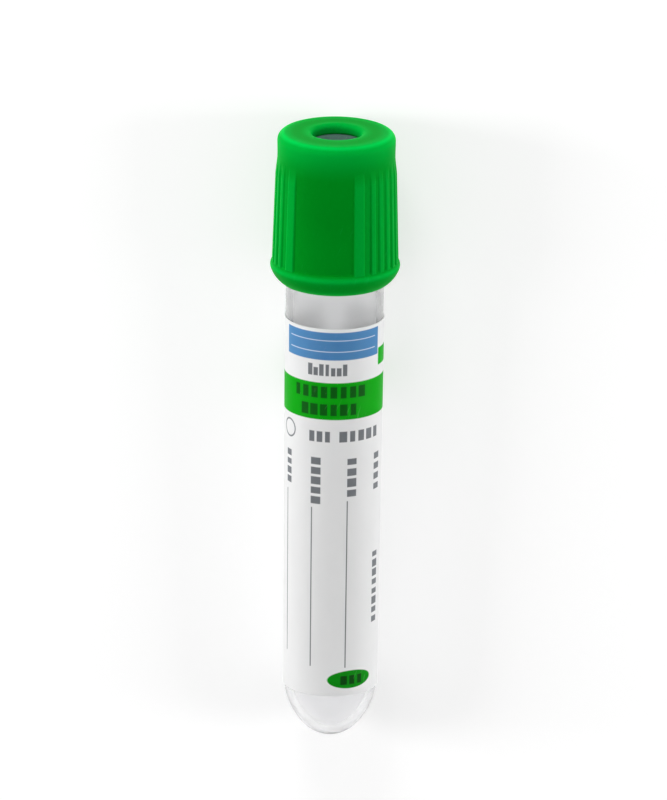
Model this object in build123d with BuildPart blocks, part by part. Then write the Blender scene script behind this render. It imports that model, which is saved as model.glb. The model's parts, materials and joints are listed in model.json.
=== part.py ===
from build123d import *
import os
from math import acos, atan2, cos, degrees, hypot, radians, sin

# A vacuum blood collection tube, lying on a flat surface as it comes to rest.
# Sizes are in millimetres. Heights run along the tube's axis, from the outside of its
# closed end towards the cap, and radii are measured from that axis.

# ---- Driving dimensions: the tube ----
tube_length = 75.0        # closed end to open mouth
mouth_radius = 6.475      # outside, at the mouth
wall = 1.0
wall_taper = 0.325        # how much smaller the outside is where the wall meets the round end
land_below_cap = 3.0      # the wall is straight from the mouth to this far below the cap
end_stretch = 1.85        # how much longer the round end is than half a ball
end_tip_ease = 1.35       # how much tighter its tip is rounded than half a ball
inside_tip_ease = 1.15    # the same for the inside
base_thickness = 1.3      # plastic at the middle of the round end
rim_round = 0.25

# ---- Driving dimensions: the stopper ----
head_overhang = 0.425     # how far the flange stands out past the tube's rim
head_height = 7.05        # height of the flange above the rim
head_round = 0.4
plug_length = 8.3         # part that goes down into the bore
plug_clearance = 0.03     # running clearance between the sealing bands and the bore
band_relief = 0.22        # how far the plug is cut back between its bands
band_height = 1.8
band_count = 2
band_slope = 0.3          # height of the slope at each side of a band
lead_in = 0.55            # taper at the plug's lower end, in radius
well_radius = 2.6         # shallow dish that the needle enters
well_depth = 0.8
chamber_radius = 3.1      # hollow in the plug's lower end
chamber_depth = 6.5
chamber_round = 1.0

# ---- Driving dimensions: the cap ----
cap_length = 20.4
top_wall = 1.3
side_wall = 0.85             # beside the stopper's flange, at the top
cap_top_round = 1.1
needle_hole_radius = 3.25
needle_hole_round = 0.6
head_side_clearance = 0.05   # between the stopper's flange and the cap
head_top_clearance = 0.05
waist_draw = 0.06            # how much narrower the waist is than the top
waist_drop = 3.2             # below the cap's top
waist_blend = 14.0
shoulder_flare = 0.1         # how much wider the shoulder is than the waist
shoulder_drop = 5.8
shoulder_blend = 30.0
skirt_flare = 0.24           # how much wider the skirt is at the bead than at the shoulder
bead_proud = 0.47            # how far the bead, the widest part, stands out from the skirt
bead_rise = 2.25             # middle of the bead above the lower edge
bead_round = 0.9
bead_turn = 18.0             # degrees the bead turns under before the skirt draws in
lip_land = 0.2               # width of the flat lower edge
skirt_gap = 0.325            # between the skirt's bore and the tube
snap_gap = 0.25              # between the snap ring under the flange and the tube
snap_height = 0.9
snap_slope = 0.2

# ---- Driving dimensions: the grip ribs on the cap ----
panel_angle = 60.0           # smooth panel, one at the front and one at the back
panel_centre = -12.0         # middle of the front panel, from the side that lies uppermost
edge_rib_angle = 10.0        # wide rib on each side of a panel
rib_angle = 5.5
ribs_per_side = 9            # narrow ribs between two wide ones
rib_start_drop = 3.4
rib_full_drop = 5.6
rib_height_top = 0.14
rib_height_bottom = 0.24

# ---- Driving dimensions: the label ----
label_below_cap = 4.75       # bare wall between the cap and the label
label_over_end = 0.75        # how far the label reaches past the start of the round end
label_thickness = 0.1
label_gap_angle = 30.0       # strip of bare wall left open along the underside

# ---- Heights and radii that follow ----
bore_radius = mouth_radius - wall
end_radius = mouth_radius - wall_taper
end_bore_radius = end_radius - wall
end_length = end_radius + end_stretch
end_tip_radius = end_radius - end_tip_ease
inside_tip_radius = end_bore_radius - inside_tip_ease

head_radius = mouth_radius + head_overhang
head_top = tube_length + head_height
plug_bottom = tube_length - plug_length
band_radius = bore_radius - plug_clearance
neck_radius = band_radius - band_relief

recess_radius = head_radius + head_side_clearance
cap_ceiling = head_top + head_top_clearance
cap_top = cap_ceiling + top_wall
cap_bottom = cap_top - cap_length
cap_top_radius = recess_radius + side_wall
waist_radius = cap_top_radius - waist_draw
shoulder_radius = waist_radius + shoulder_flare
skirt_radius = shoulder_radius + skirt_flare
bead_radius = skirt_radius + bead_proud
bead_centre_radius = bead_radius - bead_round
bead_height = cap_bottom + bead_rise
ledge_height = bead_height + (bead_round**2 - (skirt_radius - bead_centre_radius) ** 2) ** 0.5
skirt_bore = mouth_radius + skirt_gap
snap_radius = mouth_radius + snap_gap

land_bottom = cap_bottom - land_below_cap
label_top = cap_bottom - label_below_cap
label_bottom = end_length - label_over_end
wall_slope = (mouth_radius - end_radius) / (land_bottom - end_length)


def end_flank(radius, height, tip_radius):
    """Radius of the arc that blends a round end's tip into its wall, and its angle in degrees."""
    flank_radius = ((height - tip_radius) ** 2 + radius**2 - tip_radius**2) / (2 * (radius - tip_radius))
    return flank_radius, degrees(atan2(height - tip_radius, flank_radius - radius))


flank_radius, flank_angle = end_flank(end_radius, end_length, end_tip_radius)

# ---- How the tube lies ----
# It rests on the cap's bead and on the tube's wall at the round end, so the floor is a straight
# line below the outline that touches the bead's arc and the flank's arc. Both arcs are the same
# distance from the line, less their own radii, which gives one equation for the tilt.
centres_across = bead_centre_radius - (end_radius - flank_radius)
centres_along = bead_height - end_length
tilt = acos((flank_radius - bead_round) / hypot(centres_across, centres_along)) - atan2(
    centres_along, centres_across
)
axis_above_floor = bead_centre_radius * cos(tilt) + bead_round - bead_height * sin(tilt)

# The origin is under the middle of the whole length, on the floor.
reach_at_cap = (
    (cap_top - cap_top_round) * cos(tilt) + (cap_top_radius - cap_top_round) * sin(tilt) + cap_top_round
)
reach_at_end = end_tip_radius - end_tip_radius * cos(tilt)
closed_end = Vector(0, -(reach_at_cap - reach_at_end) / 2, axis_above_floor)
along = Vector(0, cos(tilt), sin(tilt))
tube_axis = Axis(closed_end, along)
sideways = Vector(1, 0, 0)
upward = sideways.cross(along)


def half_plane(angle):
    """The plane through the axis whose radius points at this angle from the uppermost side."""
    outward = upward * cos(radians(angle)) + sideways * sin(radians(angle))
    return Plane(origin=closed_end, x_dir=outward, z_dir=outward.cross(along))


outline_plane = half_plane(90)

# ---- Tube: clear moulded plastic, closed at one end ----
with BuildPart() as tube:
    inside_length = end_length - base_thickness
    bore_flank_radius, bore_flank_angle = end_flank(end_bore_radius, inside_length, inside_tip_radius)
    with BuildSketch(outline_plane):
        with BuildLine():
            CenterArc((0, end_tip_radius), end_tip_radius, 270, 90 - flank_angle)
            CenterArc((end_radius - flank_radius, end_length), flank_radius, -flank_angle, flank_angle)
            Polyline(
                (end_radius, end_length),
                (mouth_radius, land_bottom),
                (mouth_radius, tube_length),
                (bore_radius, tube_length),
                (bore_radius, land_bottom),
                (end_bore_radius, end_length),
            )
            bore_flank_centre = (end_bore_radius - bore_flank_radius, end_length)
            CenterArc(bore_flank_centre, bore_flank_radius, -bore_flank_angle, bore_flank_angle)
            tip_centre = (0, base_thickness + inside_tip_radius)
            CenterArc(tip_centre, inside_tip_radius, 270, 90 - bore_flank_angle)
            Line((0, base_thickness), (0, 0))
        make_face()
    revolve(axis=tube_axis)
    rim_edges = tube.edges().filter_by(GeomType.CIRCLE).sort_by(tube_axis)[-2:]
    fillet(rim_edges, rim_round)
tube.part.label = "tube"

# ---- Label: printed film stuck round the tube, with a strip left open underneath ----
with BuildPart() as label:
    inside_bottom = end_radius + (label_bottom - end_length) * wall_slope
    inside_top = end_radius + (label_top - end_length) * wall_slope
    with BuildSketch(half_plane(180 + label_gap_angle / 2)):
        with BuildLine():
            Polyline(
                (inside_bottom, label_bottom),
                (inside_top, label_top),
                (inside_top + label_thickness, label_top),
                (inside_bottom + label_thickness, label_bottom),
                close=True,
            )
        make_face()
    revolve(axis=tube_axis, revolution_arc=360 - label_gap_angle)
label.part.label = "label"

# ---- Stopper: moulded rubber, a flange on the rim and a plug with sealing bands ----
with BuildPart() as stopper:
    band_step = (plug_length - lead_in - band_count * band_height) / band_count
    plug_points = [(neck_radius, tube_length)]
    for band in range(band_count):
        band_top = tube_length - band_step - band * (band_height + band_step)
        plug_points += [
            (neck_radius, band_top + band_slope),
            (band_radius, band_top),
            (band_radius, band_top - band_height),
        ]
        if band < band_count - 1:
            plug_points.append((neck_radius, band_top - band_height - band_slope))
    with BuildSketch(outline_plane):
        with BuildLine():
            Polyline(
                (0, head_top - well_depth),
                (well_radius - well_depth, head_top - well_depth),
                (well_radius, head_top),
                (head_radius, head_top),
                (head_radius, tube_length),
                *plug_points,
                (band_radius - lead_in, plug_bottom),
                (chamber_radius, plug_bottom),
                (chamber_radius, plug_bottom + chamber_depth),
                (0, plug_bottom + chamber_depth),
                close=True,
            )
        make_face()
    revolve(axis=tube_axis)
    round_edges = stopper.edges().filter_by(GeomType.CIRCLE)
    flange_edges = round_edges.filter_by(lambda edge: abs(edge.radius - head_radius) < 0.01)
    fillet(flange_edges, head_round)
    chamber_edges = round_edges.filter_by(lambda edge: abs(edge.radius - chamber_radius) < 0.01)
    fillet(chamber_edges.sort_by(tube_axis)[-1], chamber_round)
stopper.part.label = "stopper"

# ---- Cap: moulded shield that snaps over the stopper's flange and skirts the tube's mouth ----
with BuildPart() as cap:
    snap_top = tube_length - head_top_clearance
    snap_bottom = tube_length - snap_height
    with BuildSketch(outline_plane):
        with BuildLine():
            FilletPolyline(
                (needle_hole_radius, cap_ceiling),
                (needle_hole_radius, cap_top),
                (cap_top_radius, cap_top),
                (waist_radius, cap_top - waist_drop),
                (shoulder_radius, cap_top - shoulder_drop),
                (skirt_radius, ledge_height),
                radius=[needle_hole_round, cap_top_round, waist_blend, shoulder_blend],
            )
            ledge_angle = degrees(atan2(ledge_height - bead_height, skirt_radius - bead_centre_radius))
            bead = CenterArc(
                (bead_centre_radius, bead_height), bead_round, ledge_angle, -ledge_angle - bead_turn
            )
            lip = (skirt_bore + lip_land, cap_bottom)
            TangentArc(bead @ 1, lip, tangent=bead % 1)
            Polyline(
                lip,
                (skirt_bore, cap_bottom),
                (skirt_bore, snap_bottom - snap_slope),
                (snap_radius, snap_bottom),
                (snap_radius, snap_top - snap_slope),
                (recess_radius, snap_top),
                (recess_radius, cap_ceiling),
                (needle_hole_radius, cap_ceiling),
            )
        make_face()
    revolve(axis=tube_axis)

    # Grip ribs stand on the skirt between the smooth panels, fade in below the waist and run
    # down into the bead. The one next to each panel is the wide one.
    rib_root = (waist_radius + recess_radius) / 2
    rib_outline = [
        (rib_root, cap_top - rib_start_drop),
        (waist_radius, cap_top - rib_start_drop),
        (shoulder_radius + rib_height_top, cap_top - rib_full_drop),
        (skirt_radius + rib_height_bottom, ledge_height),
        (skirt_radius + rib_height_bottom, bead_height),
        (rib_root, bead_height),
    ]
    ribbed_angle = 180 - panel_angle
    narrow_step = (ribbed_angle - 2 * edge_rib_angle) / (ribs_per_side + 1)
    ribs = [(edge_rib_angle / 2, edge_rib_angle), (ribbed_angle - edge_rib_angle / 2, edge_rib_angle)]
    for rib in range(ribs_per_side):
        ribs.append((edge_rib_angle + (rib + 1) * narrow_step, rib_angle))
    for side_start in (panel_centre + panel_angle / 2, panel_centre + panel_angle / 2 + 180):
        for middle, width in ribs:
            with BuildSketch(half_plane(side_start + middle - width / 2)):
                with BuildLine():
                    Polyline(*rib_outline, close=True)
                make_face()
            revolve(axis=tube_axis, revolution_arc=width)
cap.part.label = "cap"

os.makedirs("parts", exist_ok=True)
export_step(tube.part, "parts/tube.step")
export_step(label.part, "parts/label.step")
export_step(stopper.part, "parts/stopper.step")
export_step(cap.part, "parts/cap.step")

print(f"rests {degrees(tilt):.3f} degrees from flat")
print(f"axis starts at {closed_end} and runs along {along}")
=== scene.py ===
import json

import bpy
import numpy as np
from mathutils import Matrix


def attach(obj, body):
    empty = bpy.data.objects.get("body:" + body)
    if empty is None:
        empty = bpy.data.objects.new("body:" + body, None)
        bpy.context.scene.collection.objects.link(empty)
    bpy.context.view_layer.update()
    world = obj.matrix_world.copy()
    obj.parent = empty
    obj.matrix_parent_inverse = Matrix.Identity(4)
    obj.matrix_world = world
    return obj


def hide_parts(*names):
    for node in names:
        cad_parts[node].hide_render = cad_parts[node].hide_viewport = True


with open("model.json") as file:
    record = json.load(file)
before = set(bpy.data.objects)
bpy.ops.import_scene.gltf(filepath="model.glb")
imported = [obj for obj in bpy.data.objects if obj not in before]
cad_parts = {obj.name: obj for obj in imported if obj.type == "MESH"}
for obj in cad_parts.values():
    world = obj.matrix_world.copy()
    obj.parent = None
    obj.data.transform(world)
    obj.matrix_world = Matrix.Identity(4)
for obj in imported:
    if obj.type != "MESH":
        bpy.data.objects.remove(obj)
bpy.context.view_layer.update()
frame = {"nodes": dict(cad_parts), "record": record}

# ---- Tube ----
# A clear polyester tube, injection moulded in one shot: a 1 mm wall that narrows a little
# towards a blended round end, and a thicker base with the mark of the gate at its middle.
# Every piece is placed from its axis, in millimetres up from the closed end.

MM = 0.001
needle_port = next(mount for mount in frame["record"]["mounts"] if mount["name"] == "needle_port")
port_place = np.array(needle_port["pos_m"])
along = np.array(needle_port["axis"]) / np.linalg.norm(needle_port["axis"])
sideways = np.array([1.0, 0.0, 0.0])
upward = np.cross(sideways, along)


def span_of(node):
    """The lowest and highest corner of a CAD node along the axis, counted from the needle port,
    and the distance from the axis of its outermost corner, in millimetres."""
    corners = np.array([vertex.co for vertex in frame["nodes"][node].data.vertices]) - port_place
    heights = corners @ along
    radii = np.linalg.norm(corners - heights[:, None] * along, axis=1)
    return heights.min() / MM, heights.max() / MM, radii.max() / MM


tube_bottom, tube_top, mouth_radius = span_of("tube")
closed_end = port_place + along * tube_bottom * MM
tube_length = tube_top - tube_bottom

tube_wall = 1.0
wall_taper = 0.325
land_height = 60.0
end_length = 8.0
end_tip_ease = 1.35
inside_tip_ease = 1.15
base_thickness = 1.3
gate_mark_radius = 0.8
gate_mark_depth = 0.07
gate_mark_steepness = 10
land_bend = 60
rim_round = 0.25
end_step, wall_step = 0.15, 0.7
tube_columns = 180
end_radius = mouth_radius - wall_taper


def outline(corners, step):
    """The line through corners (radius, height, rounding). An arc that touches both straight runs
    replaces each corner: it starts rounding * tan(turn / 2) before it, and turns about the centre
    beside its start. Runs and arcs are cut into parts no longer than step."""
    corners = np.array(corners, float)
    chain = [corners[:1, :2]]
    for before, corner, after in zip(corners, corners[1:], corners[2:]):
        arrive, leave = corner[:2] - before[:2], after[:2] - corner[:2]
        arrive, leave = arrive / np.linalg.norm(arrive), leave / np.linalg.norm(leave)
        turn = np.arctan2(arrive[0] * leave[1] - arrive[1] * leave[0], arrive @ leave)
        start = corner[:2] - arrive * corner[2] * np.tan(abs(turn) / 2)
        chain.append(arc(start, arrive, corner[2], turn, step))
    chain.append(corners[-1:, :2])
    return divided(np.concatenate(chain), step)


def arc(start, direction, radius, turn, step):
    """Points along an arc that leaves start in a direction. With the centre beside the start,
    a point is centre - to_centre * cos(swept) - to_centre turned square * sin(swept)."""
    to_centre = np.array([-direction[1], direction[0]]) * np.sign(turn) * radius
    parts = max(int(np.ceil(radius * abs(turn) / step)), 5) if radius else 0
    swept = np.linspace(0, turn, parts + 1)[:, None]
    square = np.array([-to_centre[1], to_centre[0]])
    return start + to_centre - to_centre * np.cos(swept) - square * np.sin(swept)


def divided(line, step):
    """The same line, with each straight part cut into equal parts no longer than step."""
    lengths = np.linalg.norm(np.diff(line, axis=0), axis=1)
    line = line[np.append(lengths > 1e-9, True)]
    lengths = np.linalg.norm(np.diff(line, axis=0), axis=1)
    counts = np.ceil(lengths / step * 0.999).astype(int)
    part = np.repeat(np.arange(len(counts)), counts)
    share = (np.arange(len(part)) - (np.cumsum(counts) - counts)[part]) / counts[part]
    points = line[part] + share[:, None] * (line[part + 1] - line[part])
    return np.concatenate([points, line[-1:]])


def round_end(radius, length, tip_radius, lowest, step):
    """The outline of a blended round end, from the axis to the wall. A tip arc stands on the
    lowest height, and a larger arc leaves it with no corner and reaches the wall at length."""
    flank = ((length - tip_radius) ** 2 + radius**2 - tip_radius**2) / (2 * (radius - tip_radius))
    meet = np.arctan2(length - tip_radius, flank - radius)
    tip = arc(np.array([0, 0]), np.array([1.0, 0.0]), tip_radius, np.pi / 2 - meet, step)
    tip[0, 0] = 0
    side = arc(tip[-1], np.array([np.sin(meet), np.cos(meet)]), flank, meet, step)
    return np.concatenate([tip, side[1:]]) + [0, lowest]


def around_axis(radius, height, angle):
    """Points at closed_end + along * height + (upward * cos(angle) + sideways * sin(angle)) *
    radius, with the angle measured from the side that lies uppermost."""
    radius, height, angle = np.broadcast_arrays(radius, height, angle)
    out = np.cos(angle)[..., None] * upward + np.sin(angle)[..., None] * sideways
    return closed_end + MM * (height[..., None] * along + radius[..., None] * out)


def skin(name, points, ring=True, loop=False, more_faces=()):
    """A smooth mesh over a grid of points whose rows follow an outline and whose columns go round
    the axis. ring joins the last column to the first, and loop the last row to the first. Points
    of a row that fall together become one corner. An outline up the outside faces outwards."""
    corner = np.arange(points.shape[0] * points.shape[1]).reshape(points.shape[:2])
    on_axis = np.ptp(points, axis=1).max(axis=1) < 1e-9
    corner[on_axis] = corner[on_axis, :1]
    if ring:
        corner = np.concatenate([corner, corner[:, :1]], axis=1)
    if loop:
        corner = np.concatenate([corner, corner[:1]])
    faces = np.stack([corner[:-1, :-1], corner[:-1, 1:], corner[1:, 1:], corner[1:, :-1]], axis=-1)
    faces = np.concatenate([faces.reshape(-1, 4), *more_faces])
    used, faces = np.unique(faces, return_inverse=True)
    faces = faces.reshape(-1, 4)
    narrow_start = faces[:, 0] == faces[:, 1]
    narrow_end = faces[:, 2] == faces[:, 3]
    whole = faces[~(narrow_start | narrow_end)].tolist()
    fans = faces[narrow_start][:, 1:].tolist() + faces[narrow_end][:, :3].tolist()
    mesh = bpy.data.meshes.new(name)
    mesh.from_pydata(points.reshape(-1, 3)[used].tolist(), [], whole + fans)
    mesh.shade_smooth()
    piece = bpy.data.objects.new(name, mesh)
    bpy.context.scene.collection.objects.link(piece)
    return piece


def angles_round(count):
    """Evenly spaced angles all the way round the axis."""
    return np.linspace(0, 2 * np.pi, count, endpoint=False)


outside_end = round_end(end_radius, end_length, end_radius - end_tip_ease, 0, end_step)
from_mark = outside_end[:, 0] / gate_mark_radius
outside_end[:, 1] += gate_mark_depth / (1 + from_mark**gate_mark_steepness)
bore_radius, bore_end_radius = mouth_radius - tube_wall, end_radius - tube_wall
inside_tip_radius = bore_end_radius - inside_tip_ease
inside_end = round_end(
    bore_end_radius, end_length - base_thickness, inside_tip_radius, base_thickness, end_step
)
tube_walls = outline(
    [
        (end_radius, end_length, 0),
        (mouth_radius, land_height, land_bend),
        (mouth_radius, tube_length, rim_round),
        (bore_radius, tube_length, rim_round),
        (bore_radius, land_height, land_bend),
        (bore_end_radius, end_length, 0),
    ],
    wall_step,
)
tube_line = np.concatenate([outside_end[:-1], tube_walls, inside_end[-2::-1]])
tube = skin("clear_tube", around_axis(tube_line[:, :1], tube_line[:, 1:], angles_round(tube_columns)))

# How much of the bore's dried additive each point carries: none on the outside or in the round
# end, and in the bore clip((height - coating_start) / coating_fade, 0, 1).
coating_start, coating_fade = 9, 6
base_margin = 0.1
corner_place = np.empty(len(tube.data.vertices) * 3)
tube.data.vertices.foreach_get("co", corner_place)
corner_place = (corner_place.reshape(-1, 3) - closed_end) / MM
corner_height = corner_place @ along
from_axis = np.linalg.norm(corner_place - corner_height[:, None] * along, axis=1)
bore_line = np.interp(corner_height, inside_end[:, 1], inside_end[:, 0], left=0)
near_bore = from_axis < np.maximum(bore_line, 0) + tube_wall / 2
in_bore = near_bore & (corner_height > base_thickness - base_margin)
coated = in_bore * np.clip((corner_height - coating_start) / coating_fade, 0, 1)


def give_values(piece, name, kind, key, values):
    """Stores values for a piece's corners, which its material reads as an attribute."""
    piece.data.attributes.new(name, kind, "POINT")
    piece.data.attributes[name].data.foreach_set(key, values.ravel())


give_values(tube, "coated", "FLOAT", "value", coated)


def colour(red, green, blue):
    """A colour from a paint chart, each part from 0 to 255, as the linear values that nodes take."""
    chart = np.array([red, green, blue]) / 255
    linear = np.where(chart <= 0.04045, chart / 12.92, ((chart + 0.055) / 1.055) ** 2.4)
    return (*linear.tolist(), 1.0)


def feed(tree, node, values):
    """Sets or links a node's inputs, by their names or numbers."""
    for key, value in values.items():
        if isinstance(value, bpy.types.NodeSocket):
            tree.links.new(value, node.inputs[key])
        else:
            node.inputs[key].default_value = value


def add(tree, kind, inputs=None, output=0, **properties):
    """Adds a node with its properties and inputs, and returns one of its outputs."""
    node = tree.nodes.new("ShaderNode" + kind)
    for key, value in properties.items():
        setattr(node, key, value)
    feed(tree, node, inputs or {})
    return node.outputs[output]


def math(tree, operation, first, second=0.0):
    """One Math node."""
    return add(tree, "Math", {0: first, 1: second}, operation=operation)


def vector_math(tree, operation, first, second=(0.0, 0.0, 0.0)):
    """One Vector Math node."""
    return add(tree, "VectorMath", {0: first, 1: second}, operation=operation)


def parts_of(tree, vector):
    """The three parts of a vector."""
    node = tree.nodes.new("ShaderNodeSeparateXYZ")
    tree.links.new(vector, node.inputs[0])
    return node.outputs


def blend_colour(tree, share, under, over):
    """The colour over laid on the colour under, by a share from 0 to 1."""
    return add(tree, "Mix", {0: share, 6: under, 7: over}, output=2, data_type="RGBA")


def new_group(name, inputs, output):
    """An empty shared effect with its named inputs and its one output. Returns the node tree, its
    given inputs, and the node that takes the result."""
    tree = bpy.data.node_groups.new(name, "ShaderNodeTree")
    for socket, (kind, value) in inputs.items():
        made = tree.interface.new_socket(name=socket, in_out="INPUT", socket_type="NodeSocket" + kind)
        made.default_value = value
    tree.interface.new_socket(name=output, in_out="OUTPUT", socket_type="NodeSocketFloat")
    given = tree.nodes.new("NodeGroupInput").outputs
    return tree, given, tree.nodes.new("NodeGroupOutput")


def use_group(tree, shared, values):
    """Places a shared effect in a material with its own values, and returns what it puts out."""
    node = tree.nodes.new("ShaderNodeGroup")
    node.node_tree = shared
    feed(tree, node, values)
    return node.outputs[0]


def finish_of(piece, name):
    """Gives a piece a new material. Returns its node tree and its Principled surface."""
    material = bpy.data.materials.new(name)
    material.use_nodes = True
    tree = material.node_tree
    tree.nodes.clear()
    surface = tree.nodes.new("ShaderNodeBsdfPrincipled")
    tree.links.new(surface.outputs[0], tree.nodes.new("ShaderNodeOutputMaterial").inputs["Surface"])
    piece.data.materials.append(material)
    return tree, surface


# Two effects that all the moulded pieces share. The moulding texture is the faint unevenness
# that the mould and the cooling plastic leave. Handling marks are hair-fine scratches, in
# patches where the piece has been rubbed.
moulding_texture, given, result = new_group(
    "moulding_texture",
    {"Grain per mm": ("Float", 2.0), "Flow per mm": ("Float", 0.12), "Grain share": ("Float", 0.5)},
    "Height",
)
place = add(moulding_texture, "TexCoord", output=3)
per_mm = vector_math(moulding_texture, "MULTIPLY", place, (1 / MM, 1 / MM, 1 / MM))
grain = add(moulding_texture, "TexNoise", {"Vector": per_mm, "Scale": given[0], "Detail": 3.0})
drawn = vector_math(moulding_texture, "MULTIPLY", per_mm, (1.0, 0.25, 1.0))
flow = add(moulding_texture, "TexNoise", {"Vector": drawn, "Scale": given[1], "Detail": 1.0})
height = add(moulding_texture, "Mix", {0: given[2], 2: flow, 3: grain})
moulding_texture.links.new(height, result.inputs[0])

handling_marks, given, result = new_group(
    "handling_marks", {"Marks": ("Float", 0.5), "Length in mm": ("Float", 6.0)}, "Mask"
)
place = add(handling_marks, "TexCoord", output=3)
per_mm = vector_math(handling_marks, "MULTIPLY", place, (1 / MM, 1 / MM, 1 / MM))
skewed = add(handling_marks, "Mapping", {"Vector": per_mm, "Rotation": (0.3, 0.5, 0.4)})
length_share = math(handling_marks, "DIVIDE", 1.0, given[1])
stretch = add(handling_marks, "CombineXYZ", {0: 3.0, 1: length_share, 2: 3.0})
drawn = vector_math(handling_marks, "MULTIPLY", skewed, stretch)
lines = add(handling_marks, "TexNoise", {"Vector": drawn, "Scale": 1.0, "Detail": 2.0})
scratches = add(handling_marks, "MapRange", {"Value": lines, "From Min": 0.64, "From Max": 0.7})
patches = add(handling_marks, "TexNoise", {"Vector": per_mm, "Scale": 0.22, "Detail": 2.0})
rubbed = add(handling_marks, "MapRange", {"Value": patches, "From Min": 0.42, "From Max": 0.66})
marks = math(handling_marks, "MULTIPLY", math(handling_marks, "MULTIPLY", scratches, rubbed), given[0])
handling_marks.links.new(marks, result.inputs[0])

tree, surface = finish_of(tube, "clear_polyester")
unevenness = use_group(
    tree, moulding_texture, {"Grain per mm": 0.7, "Flow per mm": 0.1, "Grain share": 0.2}
)
scuffs = use_group(tree, handling_marks, {"Marks": 1.0, "Length in mm": 5.0})
coated = add(tree, "Attribute", output=2, attribute_name="coated")
hazed = add(tree, "MapRange", {"Value": coated, "To Min": 0.04, "To Max": 0.48})
feed(
    tree,
    surface,
    {
        "Base Color": colour(254, 254, 255),
        "Roughness": math(tree, "ADD", hazed, math(tree, "MULTIPLY", scuffs, 0.15)),
        "IOR": 1.575,
        "Transmission Weight": 0.88,
        "Normal": add(tree, "Bump", {"Strength": 0.06, "Distance": 0.02 * MM, "Height": unevenness}),
    },
)
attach(tube, "tube")
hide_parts("tube")

# ---- Label ----
# A satin plastic film 0.1 mm thick, wrapped round the tube and stuck to it, with a strip of
# bare wall left open along the underside. The print is flat fields of colour, lines to write
# on, and rows of plain upright blocks.

label_bottom, label_top = np.array(span_of("label")[:2]) - tube_bottom
film = 0.1
film_corner = 0.02
film_step = 1.0
film_columns = 331
half_wrap = np.radians(165)
wall_slope = wall_taper / (land_height - end_length)


def film_inside(height):
    """The label's inner radius: the tube's own wall, which widens evenly with height."""
    return end_radius + (height - end_length) * wall_slope


film_low, film_high = film_inside(label_bottom) + film, film_inside(label_top) + film
printed_line = outline(
    [
        (film_low - film / 2, label_bottom, 0),
        (film_low, label_bottom, film_corner),
        (film_high, label_top, film_corner),
        (film_high - film / 2, label_top, 0),
    ],
    film_step,
)
stuck_line = printed_line[::-1].copy()
stuck_line[:, 0] = 2 * film_inside(stuck_line[:, 1]) + film - stuck_line[:, 0]
film_line = np.concatenate([printed_line, stuck_line[1:-1]])
wrap = np.linspace(-half_wrap, half_wrap, film_columns)

# The two cut edges of the film are closed by faces that join its printed side to its stuck side.
film_rows, half_rows = len(film_line), len(printed_line)
first_column = np.arange(film_rows) * film_columns
printed_edge = first_column[:half_rows]
stuck_edge = np.append(first_column[0], first_column[: half_rows - 2 : -1])
cut_edge = np.stack([stuck_edge[:-1], printed_edge[:-1], printed_edge[1:], stuck_edge[1:]], axis=-1)
label = skin(
    "printed_label",
    around_axis(film_line[:, :1], film_line[:, 1:], wrap),
    ring=False,
    loop=True,
    more_faces=[cut_edge, cut_edge[:, ::-1] + film_columns - 1],
)

# Where each point of the film is on the flat printed sheet, in millimetres: along the wrap from
# the uppermost side, and in height. The third number is 1 on the printed side, 0 on the back.
sheet_place = np.zeros((film_rows, film_columns, 3))
sheet_place[..., 0] = wrap * (film_low + film_high) / 2
sheet_place[..., 1] = film_line[:, 1:]
sheet_place[:half_rows, :, 2] = 1
give_values(label, "sheet_place", "FLOAT_VECTOR", "vector", sheet_place)

# A field is a rectangle with rounded corners. Its mask falls from 1 to 0 across the edge of the
# ink, where distance = length(max(q, 0)) + min(max(q.x, q.y), 0) - corner, for
# q = |place - centre| - half size + corner.
field_edge, block_edge = 0.05, 0.04
printed_field, given, result = new_group(
    "printed_field",
    {
        "Place": ("Vector", (0, 0, 0)),
        "Centre": ("Vector", (0, 0, 0)),
        "Half size": ("Vector", (1, 1, 0)),
        "Corner": ("Float", 0.1),
    },
    "Mask",
)
flat_place = vector_math(printed_field, "MULTIPLY", given[0], (1.0, 1.0, 0.0))
offset = vector_math(printed_field, "SUBTRACT", flat_place, given[1])
offset = vector_math(printed_field, "ABSOLUTE", offset)
past = vector_math(printed_field, "SUBTRACT", offset, given[2])
corner_square = add(printed_field, "CombineXYZ", {0: given[3], 1: given[3]})
past = vector_math(printed_field, "ADD", past, corner_square)
outside = vector_math(printed_field, "MAXIMUM", past)
outside_length = add(printed_field, "VectorMath", {0: outside}, output=1, operation="LENGTH")
inside = math(printed_field, "MAXIMUM", *parts_of(printed_field, past)[:2])
inside = math(printed_field, "MINIMUM", inside)
distance = math(printed_field, "ADD", outside_length, inside)
distance = math(printed_field, "SUBTRACT", distance, given[3])
edge_range = {"Value": distance, "From Min": field_edge, "From Max": -field_edge}
mask = add(printed_field, "MapRange", edge_range)
printed_field.links.new(mask, result.inputs[0])

# A row of blocks stands where a word would be. Each pitch along the row holds one upright block,
# and two random draws for each pitch set its width and whether it is tall or short. The mask is
# 1 where max(distance across the block, past the row's ends, past its top or foot) is under 0.
block_row, given, result = new_group(
    "block_row",
    {
        "Place": ("Vector", (0, 0, 0)),
        "Centre": ("Vector", (0, 0, 0)),
        "Half size": ("Vector", (1, 1, 0)),
        "Pitch": ("Float", 0.6),
        "Short share": ("Float", 0.5),
        "Draw": ("Float", 0.0),
    },
    "Mask",
)
offset = parts_of(block_row, vector_math(block_row, "SUBTRACT", given[0], given[1]))
half = parts_of(block_row, given[2])
from_start = math(block_row, "ADD", offset[0], half[0])
step_along = math(block_row, "DIVIDE", from_start, given[3])
step_number = math(block_row, "ADD", math(block_row, "FLOOR", step_along), given[5])
height_draw = add(block_row, "TexWhiteNoise", {"W": step_number}, noise_dimensions="1D")
other_number = math(block_row, "ADD", step_number, 0.5)
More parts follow.
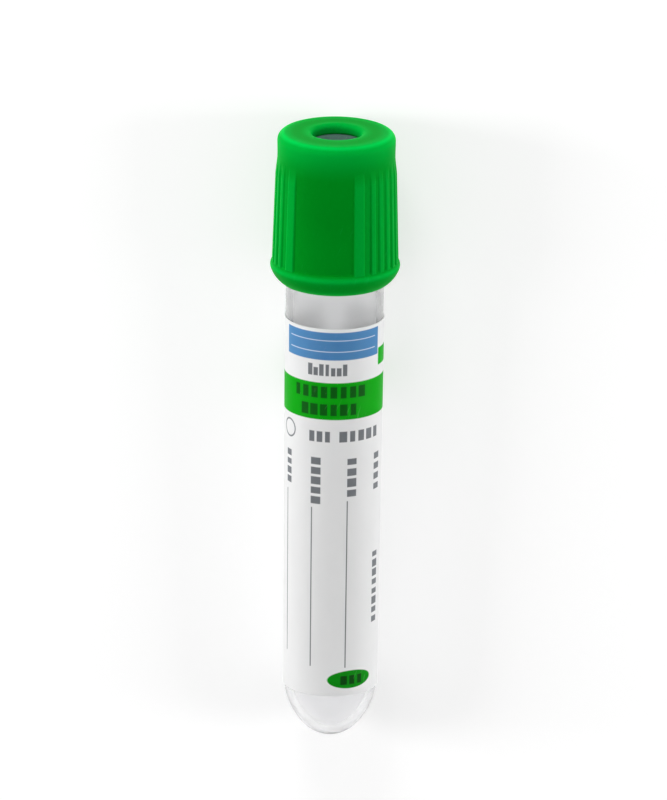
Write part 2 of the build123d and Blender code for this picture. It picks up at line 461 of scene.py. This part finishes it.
width_draw = add(block_row, "TexWhiteNoise", {"W": other_number}, noise_dimensions="1D")
half_width = add(block_row, "MapRange", {"Value": width_draw, "To Min": 0.27, "To Max": 0.41})
from_middle = math(block_row, "SUBTRACT", math(block_row, "FRACT", step_along), 0.5)
from_middle = math(block_row, "ABSOLUTE", from_middle)
across = math(block_row, "SUBTRACT", from_middle, half_width)
across = math(block_row, "MULTIPLY", across, given[3])
past_end = math(block_row, "SUBTRACT", math(block_row, "ABSOLUTE", offset[0]), half[0])
tall = math(block_row, "GREATER_THAN", height_draw, given[4])
top_share = add(block_row, "MapRange", {"Value": tall, "To Min": 0.4, "To Max": 1.0})
top = math(block_row, "MULTIPLY", half[1], top_share)
past_top = math(block_row, "SUBTRACT", offset[1], top)
foot = math(block_row, "MULTIPLY", half[1], -1.0)
past_foot = math(block_row, "SUBTRACT", foot, offset[1])
past_side = math(block_row, "MAXIMUM", across, past_end)
past_top_or_foot = math(block_row, "MAXIMUM", past_top, past_foot)
distance = math(block_row, "MAXIMUM", past_side, past_top_or_foot)
edge_range = {"Value": distance, "From Min": block_edge, "From Max": -block_edge}
mask = add(block_row, "MapRange", edge_range)
block_row.links.new(mask, result.inputs[0])

tree, surface = finish_of(label, "printed_film")
sheet = add(tree, "Attribute", output=1, attribute_name="sheet_place")
sheet_parts = parts_of(tree, sheet)
upright_sheet = add(tree, "CombineXYZ", {0: sheet_parts[1], 1: sheet_parts[0]})


def field(left, right, low, high, corner=0.12):
    """Mask of a printed field between two places along the wrap and two heights."""
    middle = ((left + right) / 2, (low + high) / 2, 0)
    half = ((right - left) / 2, (high - low) / 2, 0)
    return use_group(
        tree, printed_field, {"Place": sheet, "Centre": middle, "Half size": half, "Corner": corner}
    )


def words(place, left, right, low, high, blocks, short_share=0.0, draw=0.0):
    """Mask of a row of blocks between two places along the row and two places across it."""
    values = {"Place": place, "Centre": ((left + right) / 2, (low + high) / 2, 0)}
    values |= {"Half size": ((right - left) / 2, (high - low) / 2, 0), "Pitch": (right - left) / blocks}
    return use_group(tree, block_row, values | {"Short share": short_share, "Draw": draw})


def oval(across, high, half_across, half_high):
    """Mask of an ellipse: 1 where length((place - centre) / half size) is under 1."""
    centred = vector_math(tree, "SUBTRACT", sheet, (across, high, 0))
    scaled = vector_math(tree, "MULTIPLY", centred, (1 / half_across, 1 / half_high, 0))
    reach = add(tree, "VectorMath", {0: scaled}, output=1, operation="LENGTH")
    return add(tree, "MapRange", {"Value": reach, "From Min": 1.03, "From Max": 0.97})


paper = add(tree, "TexNoise", {"Vector": sheet, "Scale": 0.35, "Detail": 3.0})
sheet_colour = blend_colour(tree, paper, colour(238, 239, 239), colour(242, 242, 242))
ring_place, ring_outer, ring_inner = (-6.84, 43.67), (1.3, 1.3), (1.08, 1.08)
ring = math(tree, "SUBTRACT", oval(*ring_place, *ring_outer), oval(*ring_place, *ring_inner))
sky_blue, pale_blue = colour(84, 138, 186), colour(214, 226, 236)
band_green, oval_green = colour(0, 163, 6), colour(0, 142, 10)
word_ink, line_ink = colour(122, 125, 129), colour(82, 85, 89)
band_ink, oval_ink = colour(0, 92, 10), colour(0, 74, 6)

# The print, from the label's top down. A field is given by its left, right, low and high edges
# in millimetres, and so is a row of blocks. A row on the upright sheet runs up the tube, so its
# first two numbers are heights and the next two are places along the wrap.
inks = [
    (field(-7.3, 6.8, 53.98, 57.79), sky_blue),
    (field(-6.6, 6.1, 56.62, 56.72, 0.02), pale_blue),
    (field(-6.6, 6.1, 55.08, 55.18, 0.02), pale_blue),
    (words(sheet, -3.56, 1.85, 51.8, 53.4, 7, 0.55), word_ink),
    (field(-40, 40, 45.73, 50.84, 0.02), band_green),
    (words(sheet, -5.74, 4.52, 48.72, 50.3, 8, 0.0, 20), band_ink),
    (words(sheet, -4.59, 3.34, 46.3, 47.88, 6, 0.0, 40), band_ink),
    (words(sheet, -3.4, -0.2, 42.62, 44.1, 3, 0.0, 60), word_ink),
    (words(sheet, 0.7, 7.12, 42.62, 44.1, 5, 0.0, 70), word_ink),
    (ring, word_ink),
    (words(upright_sheet, 35.86, 40.83, -7.5, -6.4, 4, 0.0, 80), word_ink),
    (words(upright_sheet, 33.82, 40.62, -2.95, -1.6, 5, 0.0, 90), word_ink),
    (words(upright_sheet, 34.74, 40.58, 1.95, 3.25, 4, 0.0, 100), word_ink),
    (words(upright_sheet, 34.95, 40.59, 6.35, 7.6, 4, 0.0, 110), word_ink),
    (words(upright_sheet, 16.46, 26.82, 6.4, 7.6, 8, 0.0, 120), word_ink),
    (field(-7.45, -7.3, 12.5, 35.11, 0.02), line_ink),
    (field(-2.88, -2.74, 11.28, 33.46, 0.02), line_ink),
    (field(1.94, 2.08, 11.16, 34.41, 0.02), line_ink),
    (field(6.94, 13.2, 52.36, 54.74), band_green),
    (oval(2.85, 9.46, 3.28, 1.24), oval_green),
    (words(sheet, 1.27, 4.8, 8.75, 10.0, 3, 0.0, 140), oval_ink),
]
for mask, ink in inks:
    printed = math(tree, "MULTIPLY", mask, sheet_parts[2])
    sheet_colour = blend_colour(tree, printed, sheet_colour, ink)
texture = use_group(
    tree, moulding_texture, {"Grain per mm": 3.0, "Flow per mm": 0.25, "Grain share": 0.55}
)
scuffs = use_group(tree, handling_marks, {"Marks": 0.2, "Length in mm": 3.0})
scuffed = math(tree, "MULTIPLY", scuffs, 0.2)
feed(
    tree,
    surface,
    {
        "Base Color": blend_colour(tree, scuffed, sheet_colour, colour(240, 240, 240)),
        "Roughness": add(tree, "MapRange", {"Value": texture, "To Min": 0.36, "To Max": 0.52}),
        "Specular IOR Level": 0.05,
        "Subsurface Weight": 1.0,
        "Subsurface Radius": (1.0, 1.0, 1.0),
        "Subsurface Scale": 0.25 * MM,
        "Normal": add(tree, "Bump", {"Strength": 0.25, "Distance": 0.02 * MM, "Height": texture}),
    },
)
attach(label, "tube")
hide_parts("label")

# ---- Stopper ----
# Moulded grey rubber, gripped by the cap: a flange that seals on the tube's rim, and a plug
# with two sealing bands and a hollow in its lower end. The needle goes in through the dish in
# its top. Rubber is dull, faintly speckled with its filler, and has a dusty bloom.

stopper_bottom, stopper_top = np.array(span_of("stopper")[:2]) - tube_bottom
flange_radius = span_of("stopper")[2]
plug_clearance = 0.03
groove_depth = 0.22
band_radius = mouth_radius - tube_wall - plug_clearance
neck_radius = band_radius - groove_depth
band_height = 1.8
band_slope = 0.3
band_round = 0.2
lead_in = 0.55
lead_in_round = 0.3
plug_end_round = 0.15
neck_root_round = 0.08
flange_round = 0.4
dish_radius = 2.6
dish_depth = 0.8
dish_rim_round, dish_floor_round = 0.3, 0.5
hollow_radius = 3.1
hollow_depth = 6.5
hollow_round = 1.0
stopper_step = 0.25
stopper_columns = 144
band_step = (tube_length - stopper_bottom - lead_in - 2 * band_height) / 2
band_tops = tube_length - band_step - np.array([0, band_height + band_step])

stopper_line = outline(
    [
        (0, stopper_bottom + hollow_depth, 0),
        (hollow_radius, stopper_bottom + hollow_depth, hollow_round),
        (hollow_radius, stopper_bottom, plug_end_round),
        (band_radius - lead_in, stopper_bottom, plug_end_round),
        (band_radius, band_tops[1] - band_height, lead_in_round),
        (band_radius, band_tops[1], band_round),
        (neck_radius, band_tops[1] + band_slope, band_round),
        (neck_radius, band_tops[0] - band_height - band_slope, band_round),
        (band_radius, band_tops[0] - band_height, band_round),
        (band_radius, band_tops[0], band_round),
        (neck_radius, band_tops[0] + band_slope, band_round),
        (neck_radius, tube_length, neck_root_round),
        (flange_radius, tube_length, flange_round),
        (flange_radius, stopper_top, flange_round),
        (dish_radius, stopper_top, dish_rim_round),
        (dish_radius - dish_depth, stopper_top - dish_depth, dish_floor_round),
        (0, stopper_top - dish_depth, 0),
    ],
    stopper_step,
)
stopper_points = around_axis(stopper_line[:, :1], stopper_line[:, 1:], angles_round(stopper_columns))
stopper = skin("rubber_stopper", stopper_points)

tree, surface = finish_of(stopper, "grey_rubber")
texture = use_group(
    tree, moulding_texture, {"Grain per mm": 5.0, "Flow per mm": 0.5, "Grain share": 0.6}
)
bloom = use_group(tree, handling_marks, {"Marks": 0.8, "Length in mm": 1.5})
place = add(tree, "TexCoord", output=3)
filler = add(tree, "TexNoise", {"Vector": place, "Scale": 9.0 / MM, "Detail": 2.0})
specks = add(tree, "MapRange", {"Value": filler, "From Min": 0.62, "From Max": 0.74})
# The rubber's grey is tinted green-teal: painted green light, as the cap around it would cast on it.
rubber = blend_colour(tree, texture, colour(62, 92, 84), colour(80, 112, 102))
rubber = blend_colour(tree, math(tree, "MULTIPLY", specks, 0.35), rubber, colour(130, 140, 138))
dusted = math(tree, "MULTIPLY", bloom, 0.4)
feed(
    tree,
    surface,
    {
        "Base Color": blend_colour(tree, dusted, rubber, colour(140, 150, 148)),
        "Roughness": add(tree, "MapRange", {"Value": texture, "To Min": 0.55, "To Max": 0.78}),
        "Specular IOR Level": 0.25,
        "Normal": add(tree, "Bump", {"Strength": 0.4, "Distance": 0.03 * MM, "Height": texture}),
    },
)
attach(stopper, "stopper")
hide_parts("stopper")

# ---- Cap ----
# A green moulded shield that snaps over the stopper's flange: a thin wall with a hole for the
# needle, grip ribs on two sides with a smooth panel between them at the front and back, and a
# rolled bead at its open end.

cap_bottom, cap_top = np.array(span_of("cap")[:2]) - tube_bottom
side_wall = 0.85
hole_radius = 3.25
hole_round = 0.6
top_round = 1.1
flange_clearance = 0.05
recess_radius = flange_radius + flange_clearance
recess_round = 0.35
top_radius = recess_radius + side_wall
waist_inset, waist_drop, waist_bend = 0.06, 3.2, 14
waist_radius, waist_height = top_radius - waist_inset, cap_top - waist_drop
shoulder_flare, shoulder_drop, shoulder_bend = 0.1, 5.8, 30
shoulder_radius, shoulder_height = waist_radius + shoulder_flare, cap_top - shoulder_drop
skirt_flare = 0.24
skirt_radius = shoulder_radius + skirt_flare
bead_round, bead_proud, bead_height = 0.9, 0.47, 2.25
bead_centre = np.array([skirt_radius + bead_proud - bead_round, cap_bottom + bead_height])
bead_under = np.radians(18)
ledge_height = bead_centre[1] + np.sqrt(bead_round**2 - (skirt_radius - bead_centre[0]) ** 2)
ceiling_height = stopper_top + flange_clearance
skirt_clearance, snap_clearance = 0.325, 0.25
skirt_bore = mouth_radius + skirt_clearance
snap_radius = mouth_radius + snap_clearance
snap_below_rim, snap_end_below_rim = 0.05, 0.9
snap_top = tube_length - snap_below_rim
snap_bottom = tube_length - snap_end_below_rim
snap_slope = 0.2
snap_edge_round, inner_round = 0.05, 0.1
lip_flare, lip_round = 0.2, 0.08
lip_radius = skirt_bore + lip_flare
draw_in_step, bead_step, outer_step, inner_step = 0.15, 0.1, 0.28, 0.5
cap_columns = 480

# Up the outside: the lower edge draws out to the bead on an arc that leaves the bead with no
# corner, and the bead's own arc ends at the ledge under the skirt.
bead_start = bead_centre + bead_round * np.array([np.cos(bead_under), -np.sin(bead_under)])
down_from_bead = np.array([-np.sin(bead_under), -np.cos(bead_under)])
to_lip = np.array([lip_radius, cap_bottom]) - bead_start
beside = np.array([down_from_bead[1], -down_from_bead[0]])
draw_in_radius = to_lip @ to_lip / (2 * to_lip @ beside)
draw_in_turn = 2 * np.arctan2(to_lip @ beside, to_lip @ down_from_bead)
draw_in = arc(bead_start, down_from_bead, draw_in_radius, -draw_in_turn, draw_in_step)[::-1]
bead_turn = bead_under + np.arctan2(ledge_height - bead_centre[1], skirt_radius - bead_centre[0])
bead = arc(bead_start, -down_from_bead, bead_round, bead_turn, bead_step)
outer_walls = outline(
    [
        (skirt_radius, ledge_height, 0),
        (shoulder_radius, shoulder_height, shoulder_bend),
        (waist_radius, waist_height, waist_bend),
        (top_radius, cap_top, top_round),
        (hole_radius, cap_top, hole_round),
        (hole_radius, ceiling_height, 0),
    ],
    outer_step,
)
inner_walls = outline(
    [
        (hole_radius, ceiling_height, 0),
        (recess_radius, ceiling_height, recess_round),
        (recess_radius, snap_top, inner_round),
        (snap_radius, snap_top - snap_slope, snap_edge_round),
        (snap_radius, snap_bottom, inner_round),
        (skirt_bore, snap_bottom - snap_slope, inner_round),
        (skirt_bore, cap_bottom, lip_round),
        (lip_radius, cap_bottom, 0),
    ],
    inner_step,
)
outside_line = np.concatenate([draw_in[:-1], bead[:-1], outer_walls])
cap_line = np.concatenate([outside_line, inner_walls[1:-1]])

# Grip ribs: two groups, each from one smooth panel to the other, with a wide rib at each end and
# narrow ones between. Across a rib the height is a smooth step up and down, and along it the
# crest runs straight from where the rib fades in, out to the ledge and down into the bead.
cap_angles = angles_round(cap_columns)
group_start, group_span = 18, 120
wide_half, narrow_half, rib_edge = 5.0, 2.75, np.radians(0.9)
narrow_middles = np.arange(20, 101, 10)
rib_middles = np.concatenate([[wide_half], narrow_middles, [group_span - wide_half]])
rib_middles = np.radians(rib_middles + group_start)
rib_middles = np.concatenate([rib_middles, rib_middles + np.pi])
rib_halves = [wide_half] + [narrow_half] * len(narrow_middles) + [wide_half]
rib_halves = np.radians(np.tile(rib_halves, 2))
off_middle = np.abs((cap_angles[:, None] - rib_middles + np.pi) % (2 * np.pi) - np.pi)
rise = np.clip((rib_halves + rib_edge / 2 - off_middle) / rib_edge, 0, 1)
rib_profile = (rise**2 * (3 - 2 * rise)).max(axis=1)
rib_depth, upper_rib_depth = 0.24, 0.14
rib_full_drop, rib_start_drop = 5.6, 3.4
low_crest = skirt_radius + rib_depth
crest_heights = [bead_centre[1], ledge_height, cap_top - rib_full_drop, cap_top - rib_start_drop]
crest_radii = [low_crest, low_crest, shoulder_radius + upper_rib_depth, waist_radius]
crest = np.interp(cap_line[:, 1], crest_heights, crest_radii, left=0, right=0)
crest[len(outside_line) :] = 0
proud = np.maximum(crest - cap_line[:, 0], 0)
cap_radius = cap_line[:, :1] + proud[:, None] * rib_profile
cap = skin("green_cap", around_axis(cap_radius, cap_line[:, 1:], cap_angles), loop=True)

# Painted highlight: the cap's edges are painted paler green, in place of the light that would catch
# them and leak through the plastic where it turns an edge. This painted glow follows the lean of the
# outside, from 0 on the wall to 90 on the flat top. On the rim it is
# exp(-((lean - rim_lean) / rim_spread)^2), which fades to top_share of that across the top. The bead
# has a weaker one of the same kind. Painted highlights that fade as exp(-(distance / reach)^2) run down
# the wall and out from the hole. The ribbed sides have a little, their crests more than their grooves,
# and there is least_glow everywhere outside.
rim_lean, rim_spread = 65, 27
top_share, top_reach = 0.15, 0.9
bead_lean, bead_spread, bead_share = 10, 32, 0.5
hole_share, hole_reach = 0.62, 1.1
wall_share, wall_reach = 0.5, 3.4
crest_share, groove_share = 0.28, 0.5
least_glow = 0.08
wall_lean = 60
corner_margin = 0.01
line_run = np.gradient(cap_line, axis=0)
lean = np.degrees(np.arctan2(-line_run[:, 0], line_run[:, 1]))
on_bead = cap_line[:, 1] < ledge_height - corner_margin
near_top = cap_line[:, 1] > waist_height
inward = np.minimum(cap_line[:, 0] - top_radius + top_round, 0)
across_top = np.maximum(np.exp(-((inward / top_reach) ** 2)), top_share)
rim_glow = np.exp(-(((lean - rim_lean) / rim_spread) ** 2)) * across_top * near_top
bead_glow = bead_share * np.exp(-(((lean - bead_lean) / bead_spread) ** 2)) * on_bead
hole_glow = hole_share * np.exp(-(((cap_line[:, 0] - hole_radius) / hole_reach) ** 2))
upright = np.abs(lean) < wall_lean
wall_glow = wall_share * np.exp(-(((cap_top - cap_line[:, 1]) / wall_reach) ** 2)) * upright
painted_edge_highlight = np.max([rim_glow, bead_glow, hole_glow, wall_glow], axis=0)
painted_edge_highlight = np.maximum(painted_edge_highlight, least_glow)
group_middle = np.radians(group_start + group_span / 2)
off_group = np.abs((cap_angles - group_middle + np.pi / 2) % np.pi - np.pi / 2)
in_group = off_group < np.radians(group_span / 2)
rib_share = np.maximum(rib_profile, groove_share * in_group)
rib_glow = crest_share * np.clip(proud / upper_rib_depth, 0, 1)[:, None] * rib_share
glow = np.minimum(painted_edge_highlight[:, None] + rib_glow, 1)
glow[len(outside_line) :] = 0
give_values(cap, "painted_edge_highlight", "FLOAT", "value", glow)

tree, surface = finish_of(cap, "green_plastic")
texture = use_group(
    tree, moulding_texture, {"Grain per mm": 4.0, "Flow per mm": 0.16, "Grain share": 0.5}
)
scuffs = use_group(tree, handling_marks, {"Marks": 0.25, "Length in mm": 4.0})
place = add(tree, "TexCoord", output=3)
clouds = add(tree, "TexNoise", {"Vector": place, "Scale": 0.12 / MM, "Detail": 2.0})
green = blend_colour(tree, clouds, colour(0, 113, 6), colour(0, 125, 14))
painted_highlight = add(tree, "Attribute", output=2, attribute_name="painted_edge_highlight")
# Painted highlight: the attribute lays a paler green over the cap's own green.
green = blend_colour(tree, painted_highlight, green, colour(0, 194, 74))
scuffed = math(tree, "MULTIPLY", scuffs, 0.3)
feed(
    tree,
    surface,
    {
        "Base Color": blend_colour(tree, scuffed, green, colour(60, 196, 110)),
        "Roughness": add(tree, "MapRange", {"Value": texture, "To Min": 0.32, "To Max": 0.46}),
        "Specular IOR Level": 0.01,
        "Specular Tint": (0.0, 1.0, 0.4, 1.0),
        "Subsurface Weight": 0.25,
        "Subsurface Radius": (0.1, 1.0, 0.5),
        "Subsurface Scale": 0.5 * MM,
        "Sheen Weight": 0.7,
        "Sheen Roughness": 0.45,
        "Sheen Tint": (0.0, 1.0, 0.11, 1.0),
        "Normal": add(tree, "Bump", {"Strength": 0.25, "Distance": 0.02 * MM, "Height": texture}),
    },
)
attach(cap, "cap")
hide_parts("cap")

# ---- Floor, light and camera ----
# A plain pale floor that runs out of sight, three soft lamps, one on each side and one beyond
# the cap, and an even pale surround. The camera looks down on the tube, leaning a little
# towards the cap's end.


def shows_pale(tree):
    """1 where the camera sees the surround, by itself, in a gloss or through clear plastic."""
    path = tree.nodes.new("ShaderNodeLightPath").outputs
    seen = math(tree, "MAXIMUM", path["Is Camera Ray"], path["Is Glossy Ray"])
    return math(tree, "MAXIMUM", seen, path["Is Transmission Ray"])


floor_reach = 6.0
floor_tone = 0.6
floor_lift = 0.5
floor_mesh = bpy.data.meshes.new("floor")
floor_corners = floor_reach * np.array([[-1, -1, 0], [1, -1, 0], [1, 1, 0], [-1, 1, 0]])
floor_mesh.from_pydata(floor_corners.tolist(), [], [(0, 1, 2, 3)])
floor = bpy.data.objects.new("floor", floor_mesh)
bpy.context.scene.collection.objects.link(floor)
tree, surface = finish_of(floor, "pale_floor")
feed(
    tree,
    surface,
    {
        "Base Color": (floor_tone, floor_tone, floor_tone, 1.0),
        "Roughness": 0.9,
        "Specular IOR Level": 0.0,
        "Emission Color": (1.0, 1.0, 1.0, 1.0),
        "Emission Strength": math(tree, "MULTIPLY", shows_pale(tree), floor_lift),
    },
)

surround_level = 0.34
world = bpy.data.worlds.new("pale_surround")
bpy.context.scene.world = world
world.use_nodes = True
tree = world.node_tree
tree.nodes.clear()
pale = add(tree, "MapRange", {"Value": shows_pale(tree), "To Min": surround_level, "To Max": 1.0})
background = add(tree, "Background", {"Color": (1.0, 1.0, 1.0, 1.0), "Strength": pale})
tree.links.new(background, tree.nodes.new("ShaderNodeOutputWorld").inputs[0])

tube_middle = closed_end + along * tube_length / 2 * MM


def looking(place, towards, side):
    """The placing of a lamp or camera at place that looks at towards, with side across its view."""
    back = place - towards
    back = back / np.linalg.norm(back)
    up = np.cross(back, side)
    up = up / np.linalg.norm(up)
    turned = Matrix(np.stack([np.cross(up, back), up, back], axis=1).tolist())
    return Matrix.Translation(place.tolist()) @ turned.to_4x4()


for name, offset, watts, width, length in (
    ("left_softbox", (-0.52, 0.06, 0.2), 2.15, 0.2, 0.3),
    ("right_softbox", (0.53, 0.0, 0.16), 2.2, 0.2, 0.4),
    ("far_softbox", (-0.06, 0.54, 0.14), 1.7, 0.4, 0.15),
):
    lamp = bpy.data.lights.new(name, "AREA")
    lamp.shape = "RECTANGLE"
    lamp.size, lamp.size_y = width, length
    lamp.energy = watts
    softbox = bpy.data.objects.new(name, lamp)
    softbox.matrix_world = looking(tube_middle + offset, tube_middle, np.array([0.0, 1.0, 0.0]))
    bpy.context.scene.collection.objects.link(softbox)

camera_lean = np.radians(18.2)
camera_roll = np.radians(0.69)
camera_distance = 2.011
view_height = 0.1054
aim_below_top = 37.0
aim = closed_end + along * (cap_top - aim_below_top) * MM
towards_camera = upward * np.cos(camera_lean) + along * np.sin(camera_lean)
view_up = along * np.cos(camera_lean) - upward * np.sin(camera_lean)
camera_side = sideways * np.cos(camera_roll) + view_up * np.sin(camera_roll)
lens = bpy.data.cameras.new("camera")
lens.sensor_fit = "VERTICAL"
lens.sensor_height = 36.0
lens.lens = lens.sensor_height * camera_distance / view_height
lens.clip_end = 20.0
camera = bpy.data.objects.new("camera", lens)
camera.matrix_world = looking(aim + towards_camera * camera_distance, aim, camera_side)
bpy.context.scene.collection.objects.link(camera)
bpy.context.scene.camera = camera
bpy.context.scene.view_settings.view_transform = "Standard"
